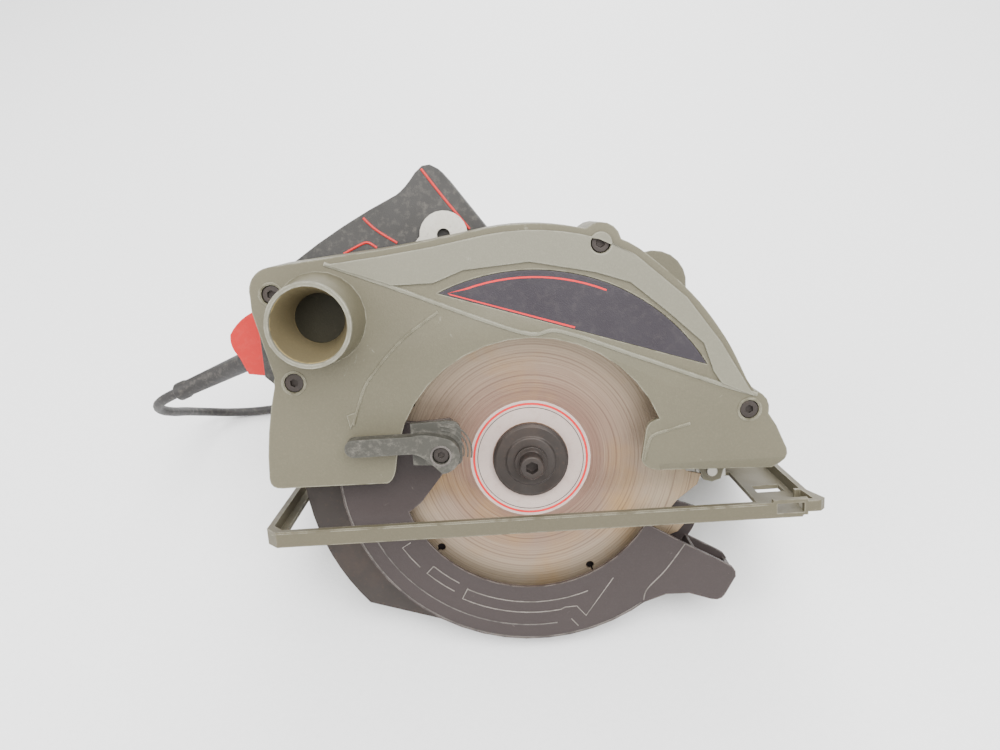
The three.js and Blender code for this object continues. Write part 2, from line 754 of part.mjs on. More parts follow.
function reliefSocket() {
  const [inside, outside] = [22, 4];
  const radius = relief.start + 0.4 + gap;
  const tube = new THREE.CylinderGeometry(radius, radius, inside + outside, 20);
  return onRelief(tube.translate(0, (outside - inside) / 2, 0));
}

function strainRelief() {
  const { start, end, length } = relief;
  const bore = lead.diameter / 2 + gap;
  const profile = [
    [bore, -7],
    [start, -7],
    [start, 6],
    [start - 1.2, 8],
    [end, length - 8],
    [end + 0.7, length - 6],
    [end + 0.7, length],
    [bore, length],
  ];
  const points = profile.map(([r, y]) => new THREE.Vector2(r, y));
  return onRelief(new THREE.LatheGeometry([...points, points[0]], 20));
}

function frontHandle() {
  const { x, z, radius, length } = frontGrip;
  const start = plate.front + plate.thickness + gap;
  const profile = [
    [0, start + 14],
    [3.6, start + 14],
    [3.6, start],
    [radius + 2, start],
    [radius + 2, start + 4],
    [radius - 1, start + 9],
    [radius, start + 32],
    [radius - 1, start + 60],
    [radius + 1.5, start + length - 8],
    [radius - 4, start + length],
    [0, start + length],
  ];
  return turned(x, z, profile);
}

// ---------------------------------------------------------------------------------------------
// Lower guard with its lever

// The channel around the blade, with the spout at its front end. The spout's slot lets the knife by.
function lowerGuard() {
  const { outer, inner, wall, near, far, front, farFront, rear } = lower;
  const back = front - (360 - (rear - front));
  const channel = sideways(sector(0, 0, inner, outer, back, front, lower.steps), near, near + wall);
  const farSide = sideways(sector(0, 0, plate.boss + running, outer, back, farFront, lower.steps), far - wall, far);
  const hub = ring(0, 0, plate.boss + running, plate.boss + 6, far - wall, far);
  const rim = sideways(sector(0, 0, outer - wall, outer, back, front, lower.steps), near, far);
  const screwHole = pin(lever.x, lever.z, 2.3, -40, near + wall + 1, 12);
  return cut(join(channel, farSide, hub, rim, spout(), leverWeb()), screwHole);
}

function spoutOutline() {
  const shape = new THREE.Shape();
  shape.moveTo(...polar(lower.outer - 8, lower.front));
  shape.lineTo(105.5, -65);
  shape.quadraticCurveTo(111.5, -68, 110.5, -73);
  shape.lineTo(104.5, -83.5);
  shape.quadraticCurveTo(102.5, -87.5, 97, -86);
  shape.quadraticCurveTo(78, -76, ...polar(lower.outer - 0.2, -55.5));
  shape.lineTo(...polar(lower.outer - 8, -55.5));
  return shape.getPoints(3).map(({ x, y }) => [x, y]);
}

function spout() {
  const { near, far, wall, outer } = lower;
  const points = spoutOutline();
  const full = sideways(outline(points), near, far);
  const hollow = sideways(outline(inset(points, wall)), near + wall, far - wall);
  const [tipX, tipZ] = [112, -70];
  const frontEdge = sideways(
    outline([polar(outer - 6, lower.front - 1.5), [tipX, tipZ - 2], [tipX + 4, tipZ + 12], polar(outer - 6, lower.front + 8)]),
    near + wall,
    far - wall,
  );
  const channel = sideways(sector(0, 0, 60, outer - wall, -60, -20, 8), near + wall, far - wall);
  const slot = sideways(sector(0, 0, outer + 0.6, outer + 40, -70, -10, 8), -knife.slot / 2, knife.slot / 2);
  return cut(full, hollow, frontEdge, channel, slot);
}

// The web and the post that carry the lever through the guard's opening.
function leverWeb() {
  const { near, wall } = lower;
  const web = outline([
    [-37.5, 24],
    [-37.5, 7],
    [-44, 2],
    [-61, -18.5],
    polar(lower.inner + 4, 200),
    polar(lower.inner + 4, 186),
    polar(lower.inner + 4, 172),
    polar(lower.inner + 4, 158),
    [-60, 27],
    [-42, 28],
  ]);
  const post = pin(lever.x, lever.z, lever.post, lever.far + lever.bed + gap, near + 1, 18);
  return join(sideways(web, near, near + wall), post);
}

function guardLever() {
  const { x, z, near, far, tipX, tipZ, height } = lever;
  const half = height / 2;
  const arm = new THREE.Shape();
  arm.moveTo(x, z - 9.5);
  arm.absarc(x, z, 9.5, rad(-90), rad(62), false);
  arm.quadraticCurveTo(x - 8, tipZ + half + 2, -60, tipZ + half);
  arm.lineTo(tipX + half, tipZ + half);
  arm.absarc(tipX + half, tipZ, half, rad(90), rad(270), false);
  arm.lineTo(-60, tipZ - half);
  arm.quadraticCurveTo(x - 9, z + 1, x, z - 9.5);
  const bed = new THREE.Shape();
  bed.moveTo(-61, 9);
  bed.lineTo(-40.5, 7.4);
  bed.quadraticCurveTo(-35.5, 7.5, -35.5, 12);
  bed.lineTo(-35.5, 26);
  bed.quadraticCurveTo(-36, 31.5, -42, 31.5);
  bed.lineTo(-61, 31);
  const body = join(sideways(arm, near, far + 0.1), sideways(bed, far, far + lever.bed, 4));
  const hole = pin(x, z, 2.4, near - 1, far + 3, 14);
  const recess = pin(x, z, 4.4, near - 1, near + 4, 18);
  return cut(body, hole, recess);
}

function leverScrew() {
  const { x, z, near } = lever;
  const head = pin(x, z, 4, near + 1.5, near + 4 - gap, 16);
  return cut(join(head, pin(x, z, 2, near + 3, lower.near - 3, 12)), pin(x, z, 1.8, near, near + 3, 6));
}

// A spring coiled around the bearing boss, between the plate and the guard's far side.
function returnSpring() {
  const wire = 0.7;
  const radius = plate.boss + 2.4;
  const [y0, y1] = [lower.far + 1.1, plate.front - 1.1];
  const turns = 2;
  class Helix extends THREE.Curve {
    getPoint(t) {
      const [x, z] = polar(radius, 360 * turns * t + 200);
      return new THREE.Vector3(x, y0 + (y1 - y0) * t, z);
    }
  }
  const section = new THREE.Shape().absarc(0, 0, wire, 0, 2 * Math.PI);
  const options = { steps: 14 * turns, extrudePath: new Helix(), curveSegments: 2.5, bevelEnabled: false };
  return solid(new THREE.ExtrudeGeometry(section, options));
}

// ---------------------------------------------------------------------------------------------
// Shoe, brackets and locks

function rectangle(x0, x1, y0, y1) {
  return outline([[x0, y0], [x1, y0], [x1, y1], [x0, y1]]);
}

function shoePlate() {
  const { rear, front, right, left, sheet, lip, lipWall, nose, noseLength } = shoe;
  const { slotRear, slotFront, slotRight, slotLeft } = shoe;
  const noseRear = front - noseLength;
  const ends = (grow, y0, y1) =>
    outline([
      [rear + grow, y0 + 6],
      [rear + grow + 6, y0],
      [front - grow - 8, y0],
      [front - grow, y0 + 10],
      [front - grow, y1 - 16],
      [front - grow - 14, y1],
      [rear + grow + 14, y1],
      [rear + grow, y1 - 14],
    ]);
  const tray = upright(ends(0, right, left), floorZ, floorZ + lip);
  const bay = upright(ends(lipWall, right + lipWall, left - lipWall), floorZ + sheet, floorZ + lip + 1);
  const pointer = outline([
    [noseRear, right],
    [nose - 3, right],
    [nose, right + 3],
    [front - 1, right + 18],
    [noseRear, right + 18],
  ]);
  const noseBlock = upright(pointer, floorZ + sheet + 0.1, floorZ + lip);
  const noseBay = upright(
    outline([
      [front - 12, right + lipWall],
      [nose - 6, right + lipWall],
      [front - 3, right + 16],
      [front - 12, right + 16],
    ]),
    floorZ + 3,
    floorZ + lip + 1,
  );
  const frame = block(fence.x - 2, fence.x + fence.width + 2, right, right + lipWall, floorZ + 1, floorZ + lip + 1.2);
  const slot = upright(rectangle(slotRear, slotFront, slotRight, slotLeft), floorZ - 1, floorZ + lip + 2);
  const sight = upright(rectangle(slotFront + 5, front - 6, -4, 6), floorZ - 1, floorZ + lip + 2);
  const fenceWay = block(
    fence.x,
    fence.x + fence.width,
    right - 1,
    left + 1,
    floorZ + sheet,
    floorZ + sheet + fence.height,
  );
  return cut(join(cut(tray, bay), noseBlock, frame), noseBay, slot, sight, fenceWay);
}

// The quadrant that stands on the shoe, with the slot its lock bolt runs in.
function bevelQuadrant(x0) {
  const x1 = x0 + bevel.plate;
  const [from, to] = [bevel.bolt - 22, bevel.bolt + bevel.range + 13];
  const steps = 14;
  const fan = crossways(sector(bevel.y, bevel.z, bevel.radius - 10, bevel.radius + 9, from, to, steps), x0, x1);
  const foot = block(x0, x1, bevel.near, bevel.foot, floorZ + shoe.sheet + gap, floorZ + shoe.sheet + 8);
  const half = bevel.slot / 2;
  const [first, last] = [bevel.bolt - 5, bevel.bolt + bevel.range + 5];
  const slot = sector(bevel.y, bevel.z, bevel.radius - half, bevel.radius + half, first, last, steps);
  const under = block(x0 - 1, x1 + 1, -80, 80, floorZ - 60, floorZ + shoe.sheet + gap);
  const inward = block(x0 - 1, x1 + 1, -80, bevel.near, floorZ - 60, 60);
  return cut(join(fan, foot), crossways(slot, x0 - 1, x1 + 1), under, inward);
}

function boltPlace(angle = bevel.bolt) {
  return [
    bevel.y + bevel.radius * Math.cos(rad(angle)),
    bevel.z + bevel.radius * Math.sin(rad(angle)),
  ];
}

// The bracket between the saw's front pivot and the front quadrant.
function frontBracket() {
  const near = plate.front + plate.thickness + gap;
  const far = near + 3;
  const { x, z } = frontPivot;
  const cheek = outline([
    [x - 8, z - 5],
    [frontBevelX - gap, z - 5],
    [frontBevelX - gap, z + 16],
    [x + 1, z + 8],
    [x - 8, z + 3],
  ]);
  const [boltY, boltZ] = boltPlace();
  const cross = crossways(
    outline([[near, z - 5], [boltY + 6, z - 5], [boltY + 8, boltZ + 7], [near, z + 16]]),
    frontBevelX - gap - 3,
    frontBevelX - gap,
  );
  const pinHole = pin(x, z, frontPivot.pin + gap, near - 1, far + 1, 20);
  const boltHole = solid(
    new THREE.CylinderGeometry(3.3, 3.3, 8, 16).rotateZ(Math.PI / 2).translate(frontBevelX - 2, boltY, boltZ),
  );
  return cut(join(sideways(cheek, near, far), cross), pinHole, boltHole);
}

function rearBracket() {
  const near = arc.near + arc.thickness + gap;
  const far = near + 3;
  const x1 = rearBevelX + bevel.plate + gap;
  const z = floorZ + shoe.sheet;
  const cheek = outline([[x1, z + 2.5], [-84, z + 2.5], [-84, z + 9], [-92, z + 14], [x1, z + 16]]);
  const [boltY, boltZ] = boltPlace();
  const cross = crossways(
    outline([[near, z + 2.5], [boltY + 6, z + 2.5], [boltY + 8, boltZ + 7], [near, z + 16]]),
    x1,
    x1 + 3,
  );
  const boltHole = solid(
    new THREE.CylinderGeometry(3.3, 3.3, 8, 16).rotateZ(Math.PI / 2).translate(x1 + 1.5, boltY, boltZ),
  );
  return cut(join(sideways(cheek, near, far), cross), boltHole);
}

// The depth arc stands beside the guard and swings about the front pivot.
function depthArc() {
  const { radius, width, near, thickness, from, to, slot, eye, lock } = arc;
  const { x, z } = frontPivot;
  const half = width / 2;
  const band = sector(x, z, radius - half, radius + half, 180 - to, 180 - from, 12);
  const [endX, endZ] = [x - radius * Math.cos(rad(to)), z + radius * Math.sin(rad(to))];
  const window = sector(x, z, radius - slot / 2, radius + slot / 2, 180 - to + 5, 180 - lock + 1.4, 12);
  const body = join(sideways(band, near, near + thickness), pin(endX, endZ, eye, near, near + thickness, 24));
  const hole = pin(endX, endZ, 3.6, near - 1, near + thickness + 1, 18);
  return cut(body, hole, sideways(window, near - 1, near + thickness + 1));
}

function depthLock() {
  const [x, z] = lockPoint;
  const near = arc.near + arc.thickness + gap;
  const body = turned(x, z, [[0, plate.front + 1], [2.7, plate.front + 1], [2.7, near], [8, near], [8, near + 9], [0, near + 9]]);
  const arm = outline([[x - 2, z - 7], [x + 34, z - 12], [x + 42, z - 10], [x + 42, z - 4], [x + 2, z + 7]]);
  return join(body, sideways(arm, near + 3, near + 9));
}

// A clamp lever on a bevel bolt; side is 1 at the front and -1 at the rear.
function bevelLock(side, x0, x1) {
  const [y, z] = boltPlace();
  const [low, high] = side > 0 ? [x0 - 5, x1 + gap] : [x0 - gap, x1 + 5];
  const shank = new THREE.CylinderGeometry(2.7, 2.7, high - low + 2, 14).rotateZ(Math.PI / 2);
  const bolt = solid(shank.translate((low + high) / 2, y, z));
  const h0 = side > 0 ? x1 + gap : x0 - gap - 7;
  const hub = solid(new THREE.CylinderGeometry(7, 7, 7, 20).rotateZ(Math.PI / 2).translate(h0 + 3.5, y, z));
  const arm = outline([[y - 4, z + 5], [y + 5, z + 4], [y + 10, z + 26], [y + 3, z + 28]]);
  return join(bolt, hub, crossways(arm, h0 + 1, h0 + 6));
}

function fenceScrew() {
  const x = fence.x + fence.width / 2;
  const base = floorZ + shoe.sheet + fence.height + 1.5;
  const profile = [[0, base], [3, base], [3, base + 6], [9, base + 6], [9, base + 14], [0, base + 14]];
  const points = profile.map(([r, h]) => new THREE.Vector2(r, h));
  const knob = new THREE.LatheGeometry([...points, points[0]], 20).rotateX(Math.PI / 2);
  return solid(knob.translate(x, fence.screw, 0));
}

function fenceBridge() {
  const y0 = fence.screw - fence.bridge / 2;
  const y1 = fence.screw + fence.bridge / 2;
  const x0 = fence.x - 4;
  const x1 = fence.x + fence.width + 3;
  const base = floorZ + shoe.sheet + gap;
  const top = base + fence.height + 3;
  const body = block(x0, x1, y0, y1, base, top);
  const way = block(fence.x, fence.x + fence.width, y0 - 1, y1 + 1, base - 1, base + fence.height);
  const x = fence.x + fence.width / 2;
  const hole = new THREE.CylinderGeometry(3.4, 3.4, 10, 16).rotateX(Math.PI / 2).translate(x, fence.screw, top);
  return cut(body, way, solid(hole));
}

function pivotPin() {
  const { x, z, pin: radius } = frontPivot;
  const far = plate.front + plate.thickness + gap + 3;
  const head = pin(x, z, radius + 1.4, far + gap, far + gap + 2.5, 16);
  return join(head, pin(x, z, radius, plate.front - 1, far + 1, 16));
}

// ---------------------------------------------------------------------------------------------
// The saw, upright

piece("upper_guard", upperGuard(), "casting");
guardScrews.forEach(([x, z], i) => piece(`guard_screw_${i + 1}`, guardScrew(x, z), "darkSteel"));
piece(
  "label_plate",
  sideways(labelOutline(), guard.face + label.recess - gap - label.thickness, guard.face + label.recess - gap, 16),
  "label",
);
piece("inner_guard", innerGuard(), "casting");
piece("riving_knife", rivingKnife(), "darkSteel");
piece("riving_knife_screw", knifeScrew(), "zinc");
piece("guard_return_spring", returnSpring(), "steel");
piece("front_pivot_pin", pivotPin(), "zinc");

piece("saw_blade", sawBlade(), "steel");
piece("inner_flange", innerFlange(), "darkSteel");
piece("outer_flange", outerFlange(), "darkSteel");
piece("blade_bolt", bladeBolt(), "darkSteel");
piece("spindle_shaft", spindleShaft(), "steel");
piece("drive_gear", driveGear(), "steel");
piece("spindle_bearing_front", bearing(0, 0, spindle.radius + gap, 15, 10 + gap, 16.8), "steel");
piece("spindle_bearing_rear", bearing(0, 0, spindle.rear + gap, 9, 38.4, 44.4), "steel");

piece("gear_housing", gearHousing(), "casting");
piece("motor_housing", motorHousing(), "gripPlastic");
piece("motor_end_cap", motorEndCap(), "gripPlastic");
piece("stator", stator(), "darkSteel");
piece("armature_shaft", armatureShaft(), "steel");
piece("armature_core", armatureCore(), "darkSteel");
piece("commutator", ring(motorX, motorZ, 5 + gap, brush.inner, brush.front - 1, brush.rear + 1, 24), "copper");
piece("cooling_fan", coolingFan(), "darkPlastic");
piece("armature_bearing_front", bearing(motorX, motorZ, 4.2 + gap, 10.7, 40.5, 46), "steel");
piece("armature_bearing_rear", bearing(motorX, motorZ, 3.8 + gap, 8, motor.rear + 4, motor.rear + 9.6), "steel");
[["front", 1], ["rear", -1]].forEach(([name, side]) => {
  piece(`brush_holder_${name}`, brushHolder(side), "brass");
  piece(`carbon_brush_${name}`, carbonBrush(side), "carbon");
});

piece("handle_shell_right", handleShell(true), "gripPlastic");
piece("handle_shell_left", handleShell(false), "gripPlastic");
piece("switch_module", switchModule(), "darkPlastic");
piece("trigger", trigger(), "redPlastic");
piece("lock_off_button", lockOffButton(), "redPlastic");
piece("rear_cap", rearCap(), "redPlastic");
piece("strain_relief", strainRelief(), "rubber");
piece("front_handle", frontHandle(), "gripPlastic");
piece("spindle_lock_button", spindleLockButton(), "redPlastic");

piece("lower_guard", lowerGuard(), "darkPlastic");
piece("guard_lever", guardLever(), "darkPlastic");
piece("guard_lever_screw", leverScrew(), "darkSteel");

piece("shoe", shoePlate(), "olive");
piece("front_bevel_quadrant", bevelQuadrant(frontBevelX), "zinc");
piece("rear_bevel_quadrant", bevelQuadrant(rearBevelX), "zinc");
piece("front_bevel_bracket", frontBracket(), "zinc");
piece("rear_bevel_bracket", rearBracket(), "zinc");
piece("depth_arc", depthArc(), "zinc");
piece("depth_lock_lever", depthLock(), "darkPlastic");
piece("front_bevel_lock", bevelLock(1, frontBevelX, frontBevelX + bevel.plate), "darkPlastic");
piece("rear_bevel_lock", bevelLock(-1, rearBevelX, rearBevelX + bevel.plate), "darkPlastic");
piece("fence_bridge", fenceBridge(), "olive");
piece("fence_lock_screw", fenceScrew(), "darkPlastic");

// ---------------------------------------------------------------------------------------------
// Lean onto the floor: the lower guard's far edge and the shoe's left edge both touch it.

const leaning = new THREE.Group();
const lean = Math.atan((lower.outer - arborHeight) / (shoe.left - lower.far));
saw.rotation.x = -lean;
leaning.add(saw);
leaning.updateMatrixWorld(true);
const box = new THREE.Box3().setFromObject(leaning, true);
const centre = box.getCenter(new THREE.Vector3());
saw.position.set(-centre.x, -centre.y, -box.min.z);
leaning.updateMatrixWorld(true);

// ---------------------------------------------------------------------------------------------
// Mains lead: out of the strain relief, down to the floor, round behind the saw and into a coil

const leadRadius = lead.diameter / 2;
const onFloor = leadRadius + 0.1;
const leadRoute = [
  [-168.0, 21.6, 98.4],
  [-178.9, 21.6, 93.3],
  [-184.3, 21.6, 90.7],
  [-193.1, 22.9, 84.6],
  [-199.1, 26.5, 76.5],
  [-201.4, 32.0, 67.2],
  [-202.2, 43.0, 53.0],
  [-201.6, 56.0, 38.5],
  [-200.2, 67.5, 25.0],
  [-196.0, 76.5, 14.0],
  [-187.0, 82.0, 6.6],
  [-174.0, 84.2, onFloor + 0.4],
  [-158.0, 85.4, onFloor],
  [-138.0, 88.4, onFloor],
  [-118.0, 95.0, onFloor],
  [-99.0, 105.6, onFloor],
  [-80.0, 118.0, onFloor],
  [-62.0, 127.6, onFloor],
  [-47.5, 132.2, onFloor],
];
const tailRoute = [
  [7.7, 142.4, coil.high * lead.diameter - leadRadius - 1],
  [16.5, 145.6, 20.0],
  [26.0, 149.1, 15.9],
  [34.5, 152.2, 13.4],
  [41.5, 154.7, plug.height / 2],
];

// A round tube along a list of points.
function tubeAlong(route) {
  const path = new THREE.CatmullRomCurve3(route.map((point) => new THREE.Vector3(...point)), false, "centripetal");
  const section = new THREE.Shape(
    Array.from({ length: lead.sides }, (_, i) => new THREE.Vector2(...polar(leadRadius, (i * 360) / lead.sides))),
  );
  const steps = Math.max(4, Math.round(path.getLength() / lead.step));
  return solid(new THREE.ExtrudeGeometry(section, { steps, extrudePath: path, bevelEnabled: false }));
}

function leadCoil() {
  const half = (coil.wide * lead.diameter) / 2;
  const height = coil.high * lead.diameter;
  const profile = [
    [coil.radius - half, 0],
    [coil.radius + half, 0],
    [coil.radius + half, height],
    [coil.radius - half, height],
  ].map(([r, z]) => new THREE.Vector2(r, z));
  const geometry = new THREE.LatheGeometry([...profile, profile[0]], 32).rotateX(Math.PI / 2);
  return solid(geometry).translate([coil.x, coil.y, 0]);
}

// A flat plug with two round pins, lying on its wide side at the tail's end.
function mainsPlug() {
  const { length, width, height, neck, neckLength, shoulder, turn } = plug;
  const half = width / 2;
  const side = outline([
    [0, -neck],
    [neckLength, -neck - 0.6],
    [shoulder, -half + 3],
    [length - 4, -half],
    [length, -half + 4],
    [length, half - 4],
    [length - 4, half],
    [shoulder, half - 3],
    [neckLength, neck + 0.6],
    [0, neck],
  ]);
  const beside = (z0, z1) => block(-1, neckLength, -half, half, z0, z1);
  const middle = height / 2;
  const body = cut(upright(side, 0, height), beside(middle + neck + 1, height + 1), beside(-1, middle - neck - 1));
  const pins = [-1, 1].map((way) => {
    const bar = new THREE.CylinderGeometry(plugPin.radius, plugPin.radius, plugPin.length + 2, 12);
    bar.rotateZ(Math.PI / 2).translate(length + plugPin.length / 2 - 1, (way * plugPin.spacing) / 2, middle);
    return solid(bar);
  });
  const [endX, endY] = tailRoute[tailRoute.length - 1];
  const away = gap + 0.1;
  return join(body, ...pins)
    .rotate([0, 0, turn])
    .translate([endX + away * Math.cos(rad(turn)), endY + away * Math.sin(rad(turn)), 0]);
}

piece("mains_lead", tubeAlong(leadRoute), "rubber", leaning);
piece("lead_coil", leadCoil(), "rubber", leaning);
piece("lead_tail", tubeAlong(tailRoute), "rubber", leaning);
piece("plug", mainsPlug(), "rubber", leaning);

export default leaning;
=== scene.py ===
"""Looks of a circular saw that lies on its shoe edge and lower guard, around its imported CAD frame.

Shapes are given in the saw frame in millimetres, as the CAD does: X forward, Y to the motor side, Z up,
origin on the arbor in the blade plane. at() turns a saw point into the row frame in metres.
"""

import json
import math

import bmesh
import bpy
from mathutils import Matrix, Vector


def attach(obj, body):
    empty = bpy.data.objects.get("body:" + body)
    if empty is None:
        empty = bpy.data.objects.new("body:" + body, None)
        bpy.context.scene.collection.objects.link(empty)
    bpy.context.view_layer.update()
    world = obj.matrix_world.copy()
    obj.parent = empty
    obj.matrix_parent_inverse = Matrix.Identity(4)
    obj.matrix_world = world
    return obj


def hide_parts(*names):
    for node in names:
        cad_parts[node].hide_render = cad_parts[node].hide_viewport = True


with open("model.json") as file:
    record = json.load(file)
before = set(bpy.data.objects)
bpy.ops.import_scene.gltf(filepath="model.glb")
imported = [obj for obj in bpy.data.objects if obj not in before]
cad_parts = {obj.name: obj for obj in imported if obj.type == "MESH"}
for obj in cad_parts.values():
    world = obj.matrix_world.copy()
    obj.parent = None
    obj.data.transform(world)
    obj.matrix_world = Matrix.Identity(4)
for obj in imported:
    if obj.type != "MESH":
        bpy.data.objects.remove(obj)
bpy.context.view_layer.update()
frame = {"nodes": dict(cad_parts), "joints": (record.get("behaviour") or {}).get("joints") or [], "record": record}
nodes = frame["nodes"]
joints = {joint["name"]: joint for joint in frame["joints"]}

# ---------------------------------------------------------------------------------------------
# The saw frame, from the blade's joint

MM = 0.001
saw_origin = Vector(joints["blade_spin"]["pos_m"])
saw_y = Vector(joints["blade_spin"]["axis"]).normalized()
saw_x = Vector((1, 0, 0))
saw_z = saw_x.cross(saw_y)
saw_axes = Matrix((saw_x, saw_y, saw_z)).transposed().to_4x4()
to_row = Matrix.Translation(saw_origin) @ saw_axes @ Matrix.Scale(MM, 4)

# Y of the near faces that the overlays lie on, and (X, Z) of what they go round
GUARD_FACE = -24.0
BLADE_FACE = -0.9
LOWER_GUARD_FACE = -10.0
LEVER_FACE = -27.2
LEVER_SCREW_FACE = -33.8
HANDLE_FACE = 22.0
SHOE_LIP_FACE = -34.0
PORT_CENTRE = (-101.5, 87.0)
LEVER_SCREW = (-46.0, 15.2)


def at(x, y, z):
    return to_row @ Vector((x, y, z))


def polar(radius, degrees):
    angle = math.radians(degrees)
    return radius * math.cos(angle), radius * math.sin(angle)


# ---------------------------------------------------------------------------------------------
# Camera, floor and light

scene = bpy.context.scene


def look(position, right, up):
    right = Vector(right).normalized()
    up = Vector(up).normalized()
    back = right.cross(up)
    turn = Matrix((right, up, back)).transposed()
    return Matrix.Translation(Vector(position)) @ turn.to_4x4()


CAMERA_PLACE = (0.01852, -0.29987, 0.42279)
CAMERA_RIGHT = (0.998164, -0.041718, -0.043904)
CAMERA_UP = (0.060512, 0.716752, 0.694703)

camera_data = bpy.data.cameras.new("camera")
camera_data.sensor_width = 36
camera_data.lens = 27.18
camera = bpy.data.objects.new("camera", camera_data)
camera.matrix_world = look(CAMERA_PLACE, CAMERA_RIGHT, CAMERA_UP)
scene.collection.objects.link(camera)
scene.camera = camera


def area_light(name, position, size, power, colour=(1, 1, 1)):
    data = bpy.data.lights.new(name, "AREA")
    data.shape = "DISK"
    data.size = size
    data.energy = power
    data.color = colour
    light = bpy.data.objects.new(name, data)
    light.location = position
    light.rotation_euler = (-Vector(position)).to_track_quat("-Z", "Y").to_euler()
    scene.collection.objects.link(light)


area_light("key", (0.35, -0.55, 1.5), 1.5, 44)
area_light("fill", (-1.2, -0.4, 1.1), 1.2, 18)
area_light("back", (0.2, 1.3, 1.0), 1.2, 24)

world = bpy.data.worlds.new("studio")
world.use_nodes = True
world.node_tree.nodes["Background"].inputs["Color"].default_value = (1.0, 0.995, 0.985, 1)
world.node_tree.nodes["Background"].inputs["Strength"].default_value = 1.2
scene.world = world


# ---------------------------------------------------------------------------------------------
# Materials

class Material:
    """A principled material with short ways to add noise, wear and bump."""

    def __init__(self, name, colour, roughness, metallic=0.0, specular=0.5):
        self.material = bpy.data.materials.new(name)
        self.material.use_nodes = True
        self.tree = self.material.node_tree
        self.shader = self.tree.nodes["Principled BSDF"]
        self.shader.inputs["Base Color"].default_value = (*colour, 1)
        self.shader.inputs["Roughness"].default_value = roughness
        self.shader.inputs["Metallic"].default_value = metallic
        self.shader.inputs["Specular IOR Level"].default_value = specular
        self.colour = None
        self.height = None
        self.rough = None
        self.base = (*colour, 1)
        self.base_roughness = roughness

    def node(self, kind, **values):
        made = self.tree.nodes.new(kind)
        for key, value in values.items():
            setattr(made, key, value)
        return made

    def link(self, source, target):
        self.tree.links.new(source, target)

    def place(self):
        return self.node("ShaderNodeTexCoord").outputs["Object"]

    def noise(self, scale, detail=4, roughness=0.55, distortion=0.0):
        noise = self.node("ShaderNodeTexNoise")
        noise.inputs["Scale"].default_value = scale
        noise.inputs["Detail"].default_value = detail
        noise.inputs["Roughness"].default_value = roughness
        noise.inputs["Distortion"].default_value = distortion
        self.link(self.place(), noise.inputs["Vector"])
        return noise.outputs["Fac"]

    def ramp(self, source, low, high, invert=False):
        ramp = self.node("ShaderNodeMapRange")
        ramp.inputs["From Min"].default_value = low
        ramp.inputs["From Max"].default_value = high
        ramp.inputs["To Min"].default_value = 1.0 if invert else 0.0
        ramp.inputs["To Max"].default_value = 0.0 if invert else 1.0
        self.link(source, ramp.inputs["Value"])
        return ramp.outputs["Result"]

    def math(self, operation, first, second):
        node = self.node("ShaderNodeMath", operation=operation)
        for socket, value in zip(node.inputs, (first, second)):
            if isinstance(value, (int, float)):
                socket.default_value = value
            else:
                self.link(value, socket)
        return node.outputs["Value"]

    def mix(self, mask, colour, strength=1.0):
        """Paints a colour over what is there, where the mask is."""
        mix = self.node("ShaderNodeMix", data_type="RGBA")
        factor = mask if strength == 1.0 else self.math("MULTIPLY", mask, strength)
        self.link(factor, mix.inputs["Factor"])
        if self.colour is None:
            mix.inputs["A"].default_value = self.base
        else:
            self.link(self.colour, mix.inputs["A"])
        mix.inputs["B"].default_value = (*colour, 1)
        self.colour = mix.outputs["Result"]
        self.link(self.colour, self.shader.inputs["Base Color"])

    def roughen(self, mask, value):
        """Turns the roughness towards a value, where the mask is."""
        mix = self.node("ShaderNodeMix", data_type="FLOAT")
        self.link(mask, mix.inputs["Factor"])
        if self.rough is None:
            mix.inputs["A"].default_value = self.base_roughness
        else:
            self.link(self.rough, mix.inputs["A"])
        mix.inputs["B"].default_value = value
        self.rough = mix.outputs["Result"]
        self.link(self.rough, self.shader.inputs["Roughness"])

    def bump(self, source, distance, strength=1.0):
        bump = self.node("ShaderNodeBump")
        bump.inputs["Distance"].default_value = distance
        bump.inputs["Strength"].default_value = strength
        self.link(source, bump.inputs["Height"])
        if self.height is not None:
            self.link(self.height, bump.inputs["Normal"])
        self.height = bump.outputs["Normal"]
        self.link(self.height, self.shader.inputs["Normal"])

    def edges(self, radius=1.2, low=0.02, high=0.16):
        """A mask of the shape's edges: where a rounded normal leaves the face's own."""
        rounded = self.node("ShaderNodeBevel", samples=4)
        rounded.inputs["Radius"].default_value = radius * MM
        along = self.node("ShaderNodeVectorMath", operation="DOT_PRODUCT")
        self.link(rounded.outputs["Normal"], along.inputs[0])
        self.link(self.node("ShaderNodeNewGeometry").outputs["Normal"], along.inputs[1])
        return self.ramp(self.math("SUBTRACT", 1.0, along.outputs["Value"]), low, high)


def tinted(colour, scale, lift=0.0):
    return tuple(min(1, channel * scale + lift) for channel in colour)


def casting(name, colour, worn):
    """Painted metal, mottled and grained, worn through at its edges and in a few scratches."""
    paint = Material(name, colour, 0.48, 0.12)
    paint.mix(paint.ramp(paint.noise(14, 5), 0.35, 0.7), tinted(colour, 0.82), 0.45)
    paint.mix(paint.ramp(paint.noise(900, 2), 0.45, 0.75), tinted(colour, 1.25), 0.35)
    broken = paint.ramp(paint.noise(150, 4), 0.38, 0.55)
    paint.mix(paint.math("MULTIPLY", paint.edges(), broken), worn, 0.75)
    paint.mix(paint.ramp(paint.noise(120, 6, 0.7, distortion=0.6), 0.66, 0.72), worn, 0.35)
    paint.bump(paint.noise(1400, 3), 0.00012, 0.7)
    paint.bump(paint.noise(60, 3), 0.0003, 0.15)
    paint.roughen(paint.ramp(paint.noise(40, 4), 0.4, 0.7), 0.6)
    return paint


